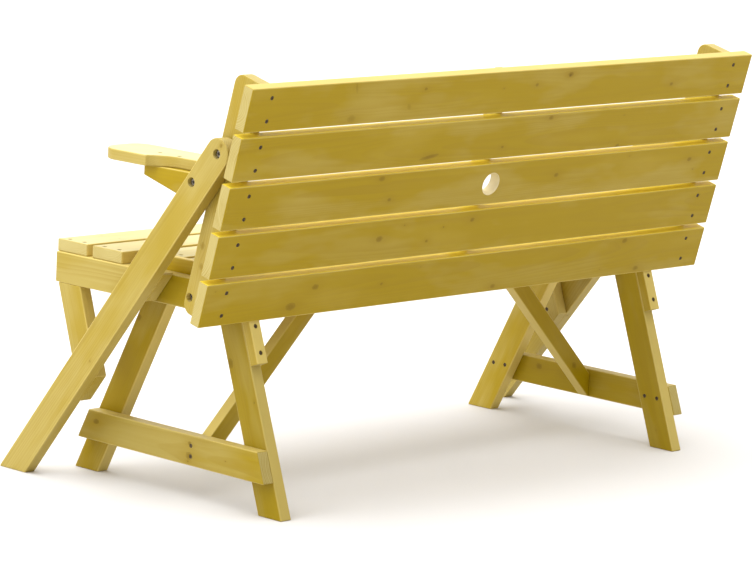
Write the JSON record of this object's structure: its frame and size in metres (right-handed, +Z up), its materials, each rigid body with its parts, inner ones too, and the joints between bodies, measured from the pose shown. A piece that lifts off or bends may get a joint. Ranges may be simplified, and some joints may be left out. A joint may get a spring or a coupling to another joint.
{
  "type": "convertible picnic table bench",
  "caption": "Slatted pine garden bench with a tall back that swings forward to lie level on the armrests and become a picnic table with a seat along each side.",
  "frame": {"origin": "on the ground in the middle of the upright bench's footprint", "axes": "+Z up; the sitter faces -Y; +X to the sitter's left, along the bench"},
  "size_m": [1.378, 0.6494, 0.8068],
  "materials": {
    "frame_boards": "yellow-stained planed pine, satin",
    "slats": "yellow-stained planed pine, satin",
    "armrests": "yellow-stained planed pine, satin",
    "screws": "yellow-passivated steel",
    "fittings": "bright zinc-plated steel",
    "spacers": "black nylon"
  },
  "bodies": {
    "rear_bench": {"backrest_stop_left": "frame_boards", "backrest_stop_right": "frame_boards", "base_pivot_bolts": "fittings", "base_pivot_nuts": "fittings", "base_pivot_spacers": "spacers", "base_pivot_washers": "fittings", "cross_rail_left": "frame_boards", "cross_rail_right": "frame_boards", "diagonal_brace_left": "frame_boards", "diagonal_brace_right": "frame_boards", "rear_bench_front_leg_left": "frame_boards", "rear_bench_front_leg_right": "frame_boards", "rear_bench_rear_leg_left": "frame_boards", "rear_bench_rear_leg_right": "frame_boards", "rear_bench_screws": "screws", "rear_seat_batten_left": "frame_boards", "rear_seat_batten_right": "frame_boards", "rear_seat_end_left": "frame_boards", "rear_seat_end_right": "frame_boards", "rear_seat_rail_left": "frame_boards", "rear_seat_rail_right": "frame_boards", "rear_seat_slat_1": "slats", "rear_seat_slat_2": "slats"},
    "tabletop": {"joint_bolts": "fittings", "joint_nuts": "fittings", "joint_washers": "fittings", "swing_arm_left": "frame_boards", "swing_arm_right": "frame_boards", "tabletop_screws": "screws", "top_batten_lower": "frame_boards", "top_batten_upper": "frame_boards", "top_slat_1": "slats", "top_slat_2": "slats", "top_slat_3": "slats", "top_slat_4": "slats", "top_slat_5": "slats", "upright_left": "frame_boards", "upright_right": "frame_boards"},
    "front_bench": {"armrest_bolts": "fittings", "armrest_bracket_left": "frame_boards", "armrest_bracket_right": "frame_boards", "armrest_left": "armrests", "armrest_nuts": "fittings", "armrest_right": "armrests", "armrest_washers": "fittings", "front_bench_screws": "screws", "front_seat_batten": "frame_boards", "front_seat_rail_left": "frame_boards", "front_seat_rail_right": "frame_boards", "front_seat_slat_1": "slats", "front_seat_slat_2": "slats", "long_leg_left": "frame_boards", "long_leg_right": "frame_boards", "short_leg_left": "frame_boards", "short_leg_right": "frame_boards", "top_pivot_bolts": "fittings", "top_pivot_nuts": "fittings", "top_pivot_spacers": "spacers", "top_pivot_washers": "fittings"}
  },
  "joints": [
    {"name": "tabletop_fold", "type": "hinge", "parent": "rear_bench", "child": "tabletop", "pos_m": [0, -0.12129, 0.3925], "axis": [1, 0, 0], "range_deg": [0, 104.5]},
    {"name": "front_bench_swing", "type": "hinge", "parent": "tabletop", "child": "front_bench", "pos_m": [0, 0.23, 0.6645], "axis": [1, 0, 0], "range_deg": [-104.5, 0]}
  ],
  "couplings": [
    {"joint": "front_bench_swing", "follows": "tabletop_fold", "ratio": -1}
  ]
}
